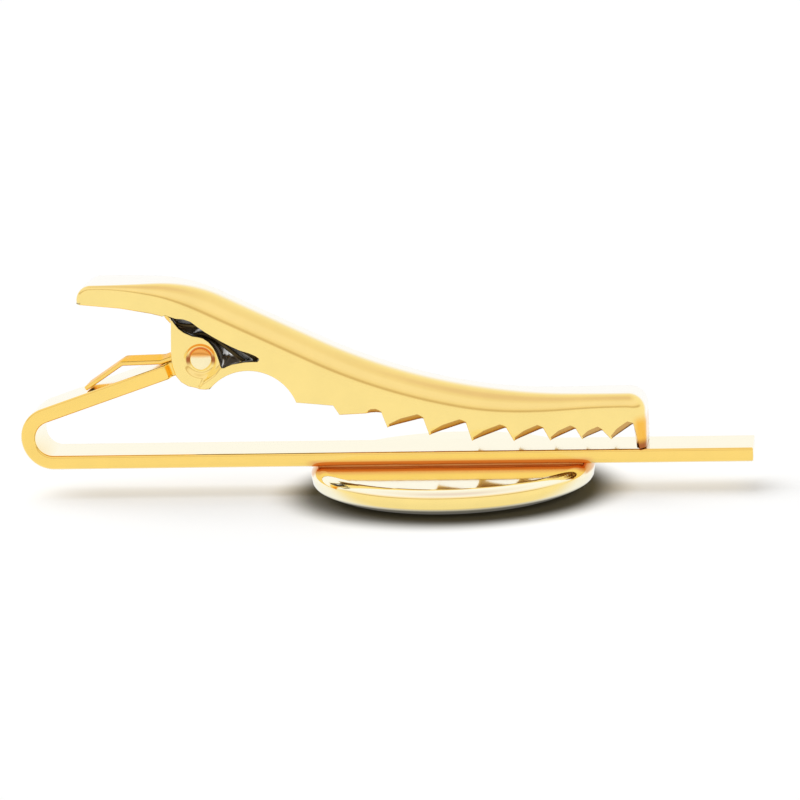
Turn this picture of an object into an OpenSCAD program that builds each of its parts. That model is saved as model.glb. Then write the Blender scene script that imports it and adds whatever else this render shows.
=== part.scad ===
// A tie clip lying face down: a folded strip, a hinged toothed jaw, a leaf spring and a round disc.
// X runs along the bar to its free end, Y across the bar, Z up. The origin is the middle of the
// disc's face, on the surface that the clip lies on. Lengths are in millimetres.

/* [View] */
// Piece to show
// Largest angle of a curved edge's step, in degrees
$fa = 4; // [2:1:12]
// Smallest step of a curved edge
$fs = 0.15; // [0.1:0.05:0.5]

/* [Folded strip] */
// Width of the strip
bar_w = 4.2; // [3.8:0.1:4.6]
// Thickness of the strip
bar_t = 1.05; // [0.9:0.05:1.2]
// Length of the bar from the middle of the disc to its free end
bar_front = 21.05; // [18:0.05:25]
// Length of the bar from the middle of the disc back to the bend
bar_back = 28.05; // [27:0.05:30]
// Radius of the bend on its inner side
bend_r = 1.22; // [1.1:0.02:1.4]
// Slope of the arm, in degrees
arm_slope = 18.6; // [17.5:0.1:20]
// Length of the arm from the bend to the hinge
arm_l = 12; // [11.5:0.1:12.5]
// Length of the arm's narrow end that goes between the ears
neck_l = 2.35; // [2.3:0.05:2.8]
// Radius of the eye at the arm's end
eye_r = 1.5; // [1.3:0.05:1.6]

/* [Jaw] */
// Width of the jaw over its side walls
jaw_w = 4.6; // [4.4:0.1:5]
// Thickness of the jaw's sheet
sheet_t = 0.5; // [0.4:0.02:0.55]
// Radius of the jaw's long shoulders
shoulder_r = 1.2; // [1:0.05:1.4]
// Reach of the thumb tab behind the hinge
tab_reach = 8.55; // [8:0.05:9.5]
// Lower edge of the tab's skirt: place behind the hinge as a share of the reach, then height
// above the hinge as a share of the top's height
skirt_shares = [[-1, 0.747], [-0.634, 0.694], [-0.387, 0.622], [-0.306, 0.588]];
// Height of the thumb tab's top above the hinge
tab_rise = 5.44; // [5.3:0.02:5.7]
// Length of the tab's straight part
tab_l = 5.39; // [5:0.01:5.8]
// Radius of the back where it turns down
back_r = 10.5; // [9.5:0.1:12]
// Slope of the back, in degrees
back_slope = 25.75; // [25.5:0.05:26]
// Length of the back's straight part
back_l = 7.46; // [7.3:0.02:7.6]
// Radius of the back where it levels out
level_r = 40.5; // [40:0.1:41]
// Radius of the nose's top corner
nose_r = 1.25; // [1.2:0.05:1.4]
// Radius of the tab's end corner
tab_end_r = 0.7; // [0.6:0.05:1]
// Reach of the jaw from the hinge to the outside of its nose
jaw_reach = 30.95; // [30:0.05:31.5]
// Gap between the nose and the bar when the clip is shut
lip_gap = 0.05; // [0.03:0.01:0.1]

/* [Teeth] */
// Distance from the hinge to the first tooth
bite_start = 6.66; // [6.5:0.02:6.8]
// Height of the first tooth above the bar
bite_h = 3.64; // [3.5:0.02:3.8]
// Tips of the teeth: place along the bite, then height, each as a share
tooth_tip_shares = [
    [0, 1], [0.124, 0.753], [0.261, 0.495], [0.381, 0.335], [0.503, 0.212],
    [0.623, 0.2], [0.727, 0.2], [0.818, 0.217], [0.901, 0.209],
];
// Roots in front of the teeth: place along the bite, then height, each as a share
tooth_root_shares = [
    [0.107, 0.934], [0.245, 0.786], [0.365, 0.662], [0.487, 0.563], [0.602, 0.456],
    [0.708, 0.437], [0.801, 0.418], [0.877, 0.382], [0.959, 0.536],
];
// Place along the bite where the nose's lip begins, as a share
lip_start_share = 0.977; // [0.97:0.001:0.98]

/* [Ears and hinge] */
// Distance from the hinge to the ears' straight edge
ear_r = 1.9; // [1.8:0.02:2]
// Radius of the ears' round end, as a share of that distance
lobe_share = 0.92; // [0.9:0.01:0.94]
// Offset of the round end's middle from the hinge, back and down, as shares of that distance
lobe_offset_shares = [0.08, 0.105];
// Depth by which the ears are pressed in from the side walls
ear_inset = 0.3; // [0.2:0.02:0.34]
// Upper edge of the slit, from its open end, as shares of the ears' distance
slit_top_shares = [
    [-1.263, 1.705], [-0.826, 1.553], [-0.274, 1.505], [0.268, 1.158], [0.621, 0.858],
    [1.163, 0.532], [1.711, 0.279], [2.111, 0.163], [2.321, -0.026],
];
// Lower edge of the slit, from its closed end to the crease round the ear, as shares
slit_bottom_shares = [
    [2.168, -0.158], [1.874, -0.137], [1.505, -0.126], [1.126, -0.274], [0.895, -0.358],
    [0.684, -0.589], [0.474, -0.747], [0.237, -0.842], [0.13, -1.02],
];
// Outline of the ear from its horn, then round the neck that joins it to the wall behind the
// crease, as shares
ear_shares = [
    [-1, 1.42], [-0.942, 1.479], [-0.658, 1.211], [-0.295, 1.021], [0.068, 0.9],
    [0.321, 0.747], [0.495, 0.521], [0.7, 0.263], [0.795, -0.195], [0.921, -0.411],
    [1.158, -0.316], [1.158, -0.432], [0.921, -0.537], [0.684, -0.684], [0.474, -0.816],
    [0.237, -0.921],
];
// Radius of the arch in the wall under the slit
arch_r = 3.55; // [3.5:0.01:3.6]
// Place of the arch's middle ahead of the hinge
arch_x = 3.35; // [3.3:0.01:3.4]
// Drop of the arch's middle below the hinge
arch_drop = 4.3; // [4.25:0.01:4.35]
// Radius of the hinge pin
pin_r = 0.6; // [0.5:0.05:0.65]
// Running gap round the pin, in the arm's eye
pin_gap = 0.05; // [0.02:0.01:0.1]
// Play left between the pin and its holes in the ears
seat_gap = 0.01; // [0.01:0.01:0.03]
// Gap on each side of the arm's eye, between the ears
side_gap = 0.06; // [0.04:0.01:0.1]
// Radius of the dish pressed in each ear
dish_r = 1.2; // [1:0.05:1.3]
// Depth of that dish
dish_depth = 0.24; // [0.15:0.01:0.3]
// Height of the pin's rounded ends above the dish's floor
pin_end_h = 0.12; // [0.05:0.01:0.2]

/* [Spring] */
// Width of the leaf spring
spring_w = 2.4; // [2:0.1:2.6]
// Thickness of the leaf spring
spring_t = 0.3; // [0.25:0.01:0.32]
// Place of the spring's foot along the arm, back from the hinge
foot_back = 8.65; // [8.3:0.05:8.9]
// Place of the spring's crest along the arm, back from the hinge
crest_back = 5.55; // [5.4:0.05:5.7]
// Height of the crest above the arm
crest_h = 1; // [0.8:0.05:1.1]
// Place of the spring's heel along the arm, back from the hinge
heel_back = 3.45; // [3.3:0.05:3.6]
// Place along the arm, back from the hinge, where the spring lifts off to go round the eye
lift_back = 2.1; // [2.05:0.05:2.6]
// Radius of the spring's fold
fold_r = 0.6; // [0.5:0.02:0.65]
// Direction from the hinge in which the spring's fold lies, in degrees from X
fold_dir = 20; // [10:1:30]
// Direction in which the spring leaves its fold, in degrees from X
tail_dir = 146; // [144:1:148]
// Gap left between surfaces that only touch
touch_gap = 0.02; // [0.01:0.005:0.03]

/* [Disc] */
// Radius of the disc
disc_r = 9.95; // [9:0.05:12]
// Thickness of the disc at its middle
disc_t = 2.1; // [1.9:0.05:2.6]
// Height of the disc's upright rim
rim_h = 0.9; // [0.7:0.05:1.2]
// Radius of the flat middle of the disc's face
face_r = 7; // [6:0.1:8]
// Radius of the rim's edge on the back
rim_edge_r = 0.6; // [0.3:0.05:0.8]
// Height of the solder fillets along the bar
solder_h = 0.3; // [0.2:0.02:0.4]
// Distance from the bar's flat underside to the solder in the groove
solder_in = 0.15; // [0.1:0.01:0.2]
// Distance that the fillets stop short of the rim
solder_short = 1.6; // [1:0.1:3]

/* [Hidden] */

gold = [1, 0.84, 0.45];
pale_gold = [1, 0.9, 0.6];
deep_gold = [0.95, 0.72, 0.3];

// Room for the cutting bodies, past every surface that they cut
past = 2 * bar_w;
// Bends are drawn this much inside the outline of the straight lengths that they run into
tuck = 0.01;
// Length of a bend's ends inside those straight lengths
lap = 2 * tuck;
// Depth of the jaw's block under the line of its top
block_depth = back_r - sheet_t;
// Parts that a curve is split into where straight lines stand for it
arc_parts = 8;
// Steps of the channel's room, as shares of the shoulder's radius: in from the wall's inner face,
// then down from the top's underside
hollow_shares = [[0, 0.375], [0.1, 0.17], [0.29, 0]];
bite_l = jaw_reach - bite_start;

// The bend and the arm, seen from the side
bend_out = bend_r + bar_t;
bend_mid = bend_r + bar_t / 2;
bend_z = disc_t + bend_out;
arm_x = -bar_back - bend_mid * sin(arm_slope);
arm_z = bend_z + bend_mid * cos(arm_slope);
hinge_x = arm_x + arm_l * cos(arm_slope);
hinge_z = arm_z + arm_l * sin(arm_slope);
bar_top = disc_t + bar_t - hinge_z;

// The line of the jaw's top, measured from the hinge: a point at each change of curve. It is
// level along the tab and again at the nose
p_tab = [-tab_reach, tab_rise];
p_back_in = p_tab + [tab_l, 0];
p_back = p_back_in + back_r * (up(back_slope) - up(0));
p_level = p_back + back_l * down(back_slope);
p_nose = p_level + level_r * (up(back_slope) - up(0));

// The same line as stations: X, height and slope, run on past both ends
top_line = [
    [-past - tab_reach, tab_rise, 0],
    for (a = steps(0, back_slope)) [each p_back_in + back_r * (up(a) - up(0)), a],
    for (a = steps(back_slope, 0)) [each p_level + level_r * (up(back_slope) - up(a)), a],
    [past + jaw_reach, p_nose[1], 0],
];

// Widths across the hinge
ear_out = jaw_w / 2 - ear_inset;
ear_in = ear_out - sheet_t;
neck_w = 2 * (ear_in - side_gap);
pin_l = 2 * (ear_out - dish_depth + pin_end_h);

// The spring's middle line, measured from the hinge
arm_top = bar_t / 2 + touch_gap + spring_t / 2;
p_foot = on_arm(-foot_back, arm_top);
p_crest = on_arm(-crest_back, bar_t / 2 + crest_h);
p_heel = on_arm(-heel_back, arm_top);
p_lift = on_arm(-lift_back, arm_top);
ring_r = eye_r + touch_gap + spring_t / 2;
ring_from = atan2(p_lift[1], p_lift[0]) + 360 - acos(ring_r / norm(p_lift));
p_fold = (ring_r + fold_r) * along(fold_dir);
p_tail = p_fold + fold_r * along(tail_dir - 90);
tail_l = (tab_rise - sheet_t - touch_gap - spring_t / 2 - p_tail[1]) / sin(tail_dir);

function down(slope) = [cos(slope), -sin(slope)];
function up(slope) = [sin(slope), cos(slope)];
function steps(from, to) = [for (i = [0:arc_parts]) from + (to - from) * i / arc_parts];
function dome_r(chord_r, rise) = (chord_r * chord_r + rise * rise) / (2 * rise);
function along(dir) = [cos(dir), sin(dir)];
function on_arm(u, v) = u * along(arm_slope) + v * along(arm_slope + 90);
function on_bite(share) = [bite_start + share[0] * bite_l, bar_top + share[1] * bite_h];

// A flat shape in X and Z, given a width across Y
module side(width) {
    rotate([90, 0, 0])
        linear_extrude(width, center = true)
            children();
}

// A section, across and up, carried along X
module run(length) {
    rotate([90, 0, 90])
        linear_extrude(length)
            children();
}

// A section, outwards and across, turned about an axis along Y. Its ends run on by the lap
module turn(r, from_dir, to_dir) {
    over = asin(lap / r);
    rotate([90, 0, 0])
        rotate_extrude(angle = to_dir - from_dir + 2 * over, start = from_dir - over)
            translate([r, 0])
                children();
}

module at_hinge() {
    translate([hinge_x, 0, hinge_z])
        children();
}

// The strip's section, drawn smaller all round by an inset: flat faces and full round edges
module strip_section(inset) {
    square([bar_w - bar_t, bar_t - 2 * inset], center = true);
    for (s = [-1, 1])
        translate([s * (bar_w - bar_t) / 2, 0])
            circle(bar_t / 2 - inset);
}

module front_bar() color(gold) {
    translate([-bar_back, 0, disc_t + bar_t / 2])
        run(bar_back + bar_front)
            strip_section(0);
    translate([-bar_back, 0, bend_z]) {
        turn(bend_mid, 90 + arm_slope, 270)
            rotate(90)
                strip_section(tuck);
        rotate([0, -arm_slope, 0])
            translate([0, 0, bend_mid])
                run(arm_l - neck_l)
                    strip_section(0);
    }
    at_hinge() difference() {
        union() {
            rotate([0, 180 - arm_slope, 0])
                run(neck_l + bar_t)
                    square([neck_w, bar_t], center = true);
            side(neck_w)
                circle(eye_r);
        }
        side(past)
            circle(pin_r + pin_gap);
    }
}

// The jaw's outer section, across and up, drawn smaller all round by an inset: a flat top, round
// shoulders and straight sides
module jaw_section(inset) {
    translate([inset - jaw_w / 2, inset - block_depth])
        square([jaw_w - 2 * inset, block_depth - shoulder_r - inset]);
    translate([shoulder_r - jaw_w / 2, inset - block_depth])
        square([jaw_w - 2 * shoulder_r, block_depth - 2 * inset]);
    for (s = [-1, 1])
        translate([s * (jaw_w / 2 - shoulder_r), -shoulder_r])
            circle(shoulder_r - inset);
}

// A straight length of the jaw's block, from a point on the line of the top
module jaw_run(from, slope, length) {
    translate([from[0], 0, from[1]])
        rotate([0, slope, 0])
            run(length)
                jaw_section(0);
}

// A full block with the jaw's outer form: its section carried along the line of the top
module jaw_block() {
    jaw_run(p_tab - [shoulder_r, 0], 0, tab_l + shoulder_r);
    translate([p_back[0], 0, p_back[1]] - back_r * [sin(back_slope), 0, cos(back_slope)])
        turn(back_r, 90 - back_slope, 90)
            rotate(-90)
                jaw_section(tuck);
    jaw_run(p_back, back_slope, back_l);
    translate([p_level[0], 0, p_level[1]] + level_r * [sin(back_slope), 0, cos(back_slope)])
        turn(level_r, 270 - back_slope, 270)
            rotate(90)
                jaw_section(tuck);
    jaw_run(p_nose, 0, jaw_reach + nose_r - p_nose[0]);
}

// Limits of the jaw seen from the side, with the tab's end and the nose's corner rounded
module jaw_side() {
    translate([-tab_reach, -past])
        square([tab_reach + jaw_reach, past + p_nose[1] - nose_r]);
    translate([-tab_reach, -past])
        square([tab_reach, past + tab_rise - tab_end_r]);
    translate([tab_end_r - tab_reach, -past])
        square([tab_reach - tab_end_r + jaw_reach - nose_r, 2 * past]);
    translate([tab_end_r - tab_reach, tab_rise - tab_end_r])
        circle(tab_end_r);
    translate([jaw_reach - nose_r, p_nose[1] - nose_r])
        circle(nose_r);
}

// Limits of the jaw seen from above, with its upright corners rounded
module jaw_plan() {
    translate([shoulder_r - tab_reach, -jaw_w / 2])
        square([tab_reach + jaw_reach - 2 * shoulder_r, jaw_w]);
    translate([-tab_reach, shoulder_r - jaw_w / 2])
        square([tab_reach + jaw_reach, jaw_w - 2 * shoulder_r]);
    for (x = [shoulder_r - tab_reach, jaw_reach - shoulder_r], s = [-1, 1])
        translate([x, s * (jaw_w / 2 - shoulder_r)])
            circle(shoulder_r);
}

// The room inside the channel. It narrows in steps towards the top, so that the sheet keeps its
// thickness behind the round shoulders
module jaw_hollow() {
    for (step = hollow_shares) {
        drop = sheet_t + step[1] * shoulder_r;
        back = sheet_t + step[0] * shoulder_r;
        intersection() {
            side(jaw_w - 2 * back)
                polygon([
                    [-past - tab_reach, -past],
                    for (p = top_line) [p[0], p[1]] - drop * up(p[2]),
                    [past + jaw_reach, -past],
                ]);
            translate([back - tab_reach, -past, -past])
                cube([tab_reach + jaw_reach - 2 * back, 2 * past, 2 * past]);
        }
    }
}

// What the side walls cover: the tab's skirt, the wall over the slit, the strip under it,
// the teeth and the nose's lip
module wall_side() {
    difference() {
        polygon([
            [-past - tab_reach, past],
            [-past - tab_reach, tab_rise * skirt_shares[0][1]],
            for (s = skirt_shares) [tab_reach * s[0], tab_rise * s[1]],
            for (s = slit_top_shares) ear_r * s,
            for (s = slit_bottom_shares) ear_r * s,
            for (i = [0:len(tooth_tip_shares) - 1]) each [
                on_bite(tooth_tip_shares[i]),
                on_bite(tooth_root_shares[i]),
            ],
            [bite_start + lip_start_share * bite_l, bar_top + lip_gap],
            [jaw_reach + past, bar_top + lip_gap],
            [jaw_reach + past, past],
        ]);
        translate([arch_x, -arch_drop])
            circle(arch_r);
    }
}

// An ear: a round end, a horn up to the slit, and a neck behind the crease
module ear_side() {
    translate([-lobe_offset_shares[0], -lobe_offset_shares[1]] * ear_r)
        circle(lobe_share * ear_r);
    polygon([
        [-ear_r, -lobe_offset_shares[1] * ear_r],
        for (s = ear_shares) ear_r * s,
    ]);
}

module clip_jaw() color(gold) at_hinge() difference() {
    union() {
        intersection() {
            difference() {
                jaw_block();
                jaw_hollow();
            }
            side(past)
                intersection() {
                    wall_side();
                    jaw_side();
                }
            translate([0, 0, -past])
                linear_extrude(2 * past)
                    jaw_plan();
        }
        for (s = [-1, 1])
            translate([0, s * (ear_out - sheet_t / 2), 0])
                side(sheet_t)
                    ear_side();
    }
    side(past)
        circle(pin_r + seat_gap);
    for (s = [-1, 1])
        translate([0, s * (ear_out - dish_depth + dome_r(dish_r, dish_depth)), 0])
            sphere(dome_r(dish_r, dish_depth));
}

module hinge_pin() color(pale_gold) at_hinge() intersection() {
    side(pin_l)
        circle(pin_r);
    sphere(d = pin_l);
}

// A straight length of the spring, seen from the side, with round ends
module leaf(from, to) {
    translate(from)
        rotate(atan2(to[1] - from[1], to[0] - from[0]))
            translate([0, -spring_t / 2])
                square([norm(to - from), spring_t]);
    for (p = [from, to])
        translate(p)
            circle(d = spring_t);
}

// A curved length of the spring about the origin, seen from the side
module leaf_arc(r, from_dir, to_dir) {
    intersection() {
        difference() {
            circle(r + spring_t / 2 - tuck);
            circle(r - spring_t / 2 + tuck);
        }
        polygon([
            [0, 0],
            for (a = steps(from_dir, to_dir)) 2 * r * along(a),
        ]);
    }
    for (dir = [from_dir, to_dir])
        translate(r * along(dir))
            circle(d = spring_t);
}

module jaw_spring() color(deep_gold) at_hinge() side(spring_w) {
    leaf(p_foot, p_crest);
    leaf(p_crest, p_heel);
    leaf(p_heel, p_lift);
    leaf(p_lift, ring_r * along(ring_from));
    leaf_arc(ring_r, fold_dir, ring_from);
    translate(p_fold)
        leaf_arc(fold_r, fold_dir + 180, tail_dir + 270);
    leaf(p_tail, p_tail + tail_l * along(tail_dir));
}

module round_disc() color(gold) {
    edge_r = dome_r(disc_r - face_r, disc_t - rim_h);
    rotate_extrude() intersection() {
        union() {
            square([disc_r, disc_t - rim_edge_r]);
            square([disc_r - rim_edge_r, disc_t]);
            translate([disc_r - rim_edge_r, disc_t - rim_edge_r])
                circle(rim_edge_r);
        }
        union() {
            square([face_r, disc_t]);
            translate([face_r, edge_r])
                circle(edge_r);
        }
    }
}

// Two fillets in the grooves between the disc's back and the bar's round edges
module disc_solder() color(pale_gold) {
    half = sqrt(pow(disc_r - solder_short, 2) - pow(bar_w / 2, 2));
    for (s = [0, 180])
        rotate(s)
            translate([-half, 0, disc_t])
                run(2 * half)
                    difference() {
                        polygon([
                            [(bar_w - bar_t) / 2 + solder_in, 0],
                            [(bar_w + solder_h) / 2, 0],
                            [bar_w / 2, solder_h],
                            [(bar_w - bar_t) / 2 + solder_in, solder_h],
                        ]);
                        translate([(bar_w - bar_t) / 2, bar_t / 2])
                            circle(d = bar_t);
                    }
}

front_bar();
clip_jaw();
jaw_spring();
hinge_pin();
round_disc();
disc_solder();
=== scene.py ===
import bmesh
import bpy
import math
import numpy as np
from mathutils import Matrix, Vector
from mathutils.geometry import delaunay_2d_cdt


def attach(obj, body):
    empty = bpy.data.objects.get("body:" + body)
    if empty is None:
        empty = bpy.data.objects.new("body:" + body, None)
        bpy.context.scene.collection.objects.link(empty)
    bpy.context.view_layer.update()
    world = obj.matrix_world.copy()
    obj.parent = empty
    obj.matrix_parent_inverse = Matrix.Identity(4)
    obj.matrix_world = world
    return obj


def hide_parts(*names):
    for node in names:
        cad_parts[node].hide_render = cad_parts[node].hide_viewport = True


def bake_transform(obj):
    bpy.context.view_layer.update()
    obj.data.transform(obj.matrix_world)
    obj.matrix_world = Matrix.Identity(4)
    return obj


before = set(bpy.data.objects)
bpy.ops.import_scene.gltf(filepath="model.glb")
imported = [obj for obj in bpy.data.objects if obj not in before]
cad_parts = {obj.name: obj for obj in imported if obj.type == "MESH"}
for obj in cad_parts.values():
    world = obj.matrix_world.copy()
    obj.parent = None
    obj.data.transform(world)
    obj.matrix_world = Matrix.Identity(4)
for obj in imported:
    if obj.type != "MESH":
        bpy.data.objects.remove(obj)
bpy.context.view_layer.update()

MM = 0.001
CLEAR = 0.02
LEAST_R = 0.01
TINY, SAME_POINT, MESH_EXACT, WELD, JAW_WELD = 1e-6, 2e-4, 1e-7, 1e-4, 4e-4

# The strip, folded back at the left into an arm that ends in an eye, in mm in the shared frame
BAR_W, BAR_T = 4.2, 1.05
BAR_FRONT, BAR_BACK = 21.05, 28.05
BAR_OUT_R, BAR_IN_R, ARM_OUT_R = 0.46, 0.2, 0.16
ARM_R_FROM, ARM_R_RUN = 1.5, 3.0
BEND_R, ARM_SLOPE, ARM_L, ARM_SHORT = 1.22, 18.6, 12.0, 0.95
NECK_L, NECK_GAP, NECK_LEAD, NECK_RUN = 2.35, 0.06, 0.28, 0.3
END_STEP, BEND_STEP, ARM_STEP, NECK_BEFORE, NECK_AFTER, STRIP_CAP = 1.5, 1.0, 0.4, 0.5, 0.3, 0.1
EYE_R, EYE_EDGE, BORE_GAP, BORE_EDGE = 1.5, 0.12, 0.05, 0.1

# The disc and the solder fillets that hold it
DISC_R, DISC_T, RIM_H, FACE_R, BEVEL_IN, BEVEL_DOWN = 9.95, 2.1, 0.9, 7.0, 0.9, 0.6
RIM_STEPS = ((0.16, -0.05), (0.1, 0.03))
SOLDER_H, SOLDER_WAVE, SOLDER_LOW_SHARE, SOLDER_STEPS = 0.13, 0.03, 0.25, 64
SOLDER_SHORT, SOLDER_UNDER, SOLDER_LAP = 0.45, 0.6, 0.08
SOLDER_FLARE_SHARE, SOLDER_HOLLOW, SOLDER_SMOOTH, SOLDER_ENDS = 1.1, 1.7, 8, 8.0

# The jaw, measured from the hinge line
JAW_W, SHEET = 4.6, 0.5
SHOULDER, TAB_SHOULDER, NOSE_SHOULDER, NOSE_LOW = 1.85, 0.34, 1.1, 0.85
SHOULDER_FROM, SHOULDER_RUN, NOSE_FROM, NOSE_RUN = -6.9, 8.4, 18.5, 10.5
TAB_REACH, TAB_RISE, TAB_L, TAB_END_R = 8.55, 5.44, 5.39, 1.05
TAB_SLOPE, NOSE_SLOPE = 0.0, 0.0
BACK_R, BACK_SLOPE, BACK_L = 10.5, 25.75, 7.46
LEVEL_R, NOSE_R, JAW_REACH = 40.5, 1.25, 30.95
LIP_GAP, TOE_REACH = 0.05, 0.42
EAR_INSET, EAR_LEAN, EAR_FALL = 0.3, 0.12, 0.16
DISH_R, DISH_DEPTH = 1.2, 0.3

# The rivet and the leaf spring; places along the arm are measured back from the hinge line
PIN_R, PIN_HALF, HEAD_R, HEAD_FROM, HEAD_RISE, HEAD_TUCK = 0.6, 1.66, 0.8, 1.7, 0.3, -0.3
SPRING_W, SPRING_T, SPRING_EDGE, SPRING_CAP, SPRING_STEP = 2.4, 0.3, 0.09, 0.08, 0.35
SPRING_FOOT, SPRING_CREST, SPRING_HEEL, SPRING_LIFT = 8.65, 5.55, 2.9, 1.95
SPRING_ARCH, SPRING_BENDS = 1.0, (0.35, 0.6, 0.5)
SPRING_LEAVE, SPRING_RUN, FOLD_R, TAIL_DIR = 50, 2.75, 0.33, 146
TAIL_BOW, TAIL_BOW_SHARE = 1.0, 0.42

BEND_MID = BEND_R + BAR_T / 2
BEND_Z = DISC_T + BAR_T + BEND_R
ARM_X, ARM_Z = math.cos(math.radians(ARM_SLOPE)), math.sin(math.radians(ARM_SLOPE))
HX = -BAR_BACK - BEND_MID * ARM_Z + ARM_L * ARM_X
HZ = BEND_Z + BEND_MID * ARM_X + ARM_L * ARM_Z
BAR_TOP = DISC_T + BAR_T - HZ


# Mesh tools
class Skin:
    """Vertices in mm and faces with a material number."""

    def __init__(self):
        self.v, self.f, self.m = [], [], []

    def add(self, points):
        base = len(self.v)
        self.v.extend([tuple(float(c) for c in p) for p in points])
        return list(range(base, len(self.v)))

    def face(self, ids, mat=0):
        self.f.append(tuple(ids))
        self.m.append(mat)

    def strip(self, a, b, closed=False, mat=0):
        n = len(a)
        for i in range(n if closed else n - 1):
            j = (i + 1) % n
            self.face((a[i], a[j], b[j], b[i]), mat)

    def build(self, name, materials, weld=WELD):
        """The welded mesh as an object, with its normals evened out by face size."""
        mesh = bpy.data.meshes.new(name)
        mesh.from_pydata([tuple(p) for p in np.array(self.v) * MM], [], self.f)
        for m in materials:
            mesh.materials.append(m)
        mesh.polygons.foreach_set("material_index", self.m)
        mesh.polygons.foreach_set("use_smooth", [True] * len(self.f))
        mesh.update()
        bm = bmesh.new()
        bm.from_mesh(mesh)
        bmesh.ops.remove_doubles(bm, verts=bm.verts, dist=weld * MM)
        bmesh.ops.dissolve_degenerate(bm, edges=bm.edges, dist=weld * MM * 0.5)
        bmesh.ops.recalc_face_normals(bm, faces=bm.faces)
        bm.to_mesh(mesh)
        bm.free()
        o = bpy.data.objects.new(name, mesh)
        bpy.context.scene.collection.objects.link(o)
        w = o.modifiers.new("even_normals", "WEIGHTED_NORMAL")
        w.weight = 80
        w.keep_sharp = False
        return o


def ease(t):
    t = np.clip(t, 0, 1)
    return t * t * (3 - 2 * t)


def quarter(n):
    return [math.pi / 2 * i / n for i in range(n + 1)]


def section_ring(width, thick, radii, inset, n):
    """A rectangle with round corners as (across, out) pairs, its corner radii given from low to high."""
    low, high = radii
    out = []
    for sx, sz, a0, r in ((1, -1, -90, low), (1, 1, 0, high), (-1, 1, 90, high), (-1, -1, 180, low)):
        own = max(r - inset, LEAST_R)
        for i in range(n + 1):
            a = math.radians(a0 + 90 * i / n)
            out.append((sx * (width / 2 - inset - own) + own * math.cos(a),
                        sz * (thick / 2 - inset - own) + own * math.sin(a)))
    return out


def sweep(skin, path, section, cap_r):
    """Carries section(t, inset) along path, a list of (x, z) points, with softened ends."""
    p = np.array(path, float)
    seg = np.linalg.norm(np.diff(p, axis=0), axis=1)
    s = np.concatenate([[0], np.cumsum(seg)])
    tan = np.gradient(p, s, axis=0)
    tan /= np.linalg.norm(tan, axis=1)[:, None]
    rings = []

    def ring(i, inset, ahead):
        t, nrm = tan[i], np.array([-tan[i][1], tan[i][0]])
        c = p[i] + t * ahead
        return skin.add([(c[0] + nrm[0] * o, y, c[1] + nrm[1] * o) for y, o in section(s[i] / s[-1], inset)])

    for a in reversed(quarter(3)[1:]):
        rings.append(ring(0, cap_r * (1 - math.cos(a)), cap_r * (1 - math.sin(a))))
    for i in range(len(p)):
        if cap_r < s[i] < s[-1] - cap_r:
            rings.append(ring(i, 0, 0))
        elif i == 0:
            rings.append(ring(0, 0, cap_r))
        elif i == len(p) - 1:
            rings.append(ring(i, 0, -cap_r))
    for a in quarter(3)[1:]:
        rings.append(ring(len(p) - 1, cap_r * (1 - math.cos(a)), -cap_r * (1 - math.sin(a))))
    for a, b in zip(rings, rings[1:]):
        skin.strip(a, b, closed=True)
    skin.face(rings[0])
    skin.face(rings[-1][::-1])


def fillet(points, radii, step=12):
    """A polyline with its corners rounded."""
    out = [np.array(points[0], float)]
    for a, b, c, r in zip(points, points[1:], points[2:], radii):
        a, b, c = (np.array(q, float) for q in (a, b, c))
        u, v = (a - b) / np.linalg.norm(a - b), (c - b) / np.linalg.norm(c - b)
        half = math.acos(max(-1, min(1, float(u @ v)))) / 2
        d = r / math.tan(half)
        centre = b + (u + v) / np.linalg.norm(u + v) * r / math.sin(half)
        p0, p1 = b + u * d - centre, b + v * d - centre
        a0, a1 = math.atan2(p0[1], p0[0]), math.atan2(p1[1], p1[0])
        turn = (a1 - a0 + math.pi) % (2 * math.pi) - math.pi
        n = max(2, int(abs(math.degrees(turn)) / step) + 1)
        for i in range(n + 1):
            a = a0 + turn * i / n
            out.append(centre + r * np.array([math.cos(a), math.sin(a)]))
    out.append(np.array(points[-1], float))
    return out


def refine(points, step):
    """The same polyline with no length over step."""
    out = [np.array(points[0], float)]
    for a, b in zip(points, points[1:]):
        a, b = np.array(a, float), np.array(b, float)
        n = max(1, int(math.ceil(np.linalg.norm(b - a) / step)))
        out += [a + (b - a) * i / n for i in range(1, n + 1)]
    return out


def lathe(skin, profile, axis, centre, segments):
    """Turns a profile of (radius, along) pairs about an axis through centre."""
    rings = []
    for r, h in profile:
        pts = []
        for i in range(segments):
            a = 2 * math.pi * i / segments
            c, s = r * math.cos(a), r * math.sin(a)
            pts.append((c, s, h) if axis == "Z" else (c, h, s))
        if r < TINY:
            rings.append([skin.add([np.array(pts[0]) + centre])[0]] * segments)
        else:
            rings.append(skin.add([np.array(q) + centre for q in pts]))
    for a, b in zip(rings, rings[1:]):
        for i in range(segments):
            j = (i + 1) % segments
            q = [a[i], a[j], b[j], b[i]]
            q = [k for n, k in enumerate(q) if k not in q[:n]]
            if len(q) > 2:
                skin.face(q)


# Node tools
def node(nt, kind, **values):
    n = nt.nodes.new(kind)
    for k, v in values.items():
        if k in n.inputs:
            n.inputs[k].default_value = v
        else:
            setattr(n, k, v)
    return n


def scaled(nt, source, start, end, low=0.0, high=1.0, kind="SMOOTHSTEP"):
    """Takes source from start..end to low..high, and holds it there outside them."""
    out = node(nt, "ShaderNodeMapRange", interpolation_type=kind)
    for k, v in (("From Min", start), ("From Max", end), ("To Min", low), ("To Max", high)):
        out.inputs[k].default_value = v
    nt.links.new(source, out.inputs["Value"])
    return out.outputs["Result"]


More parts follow.
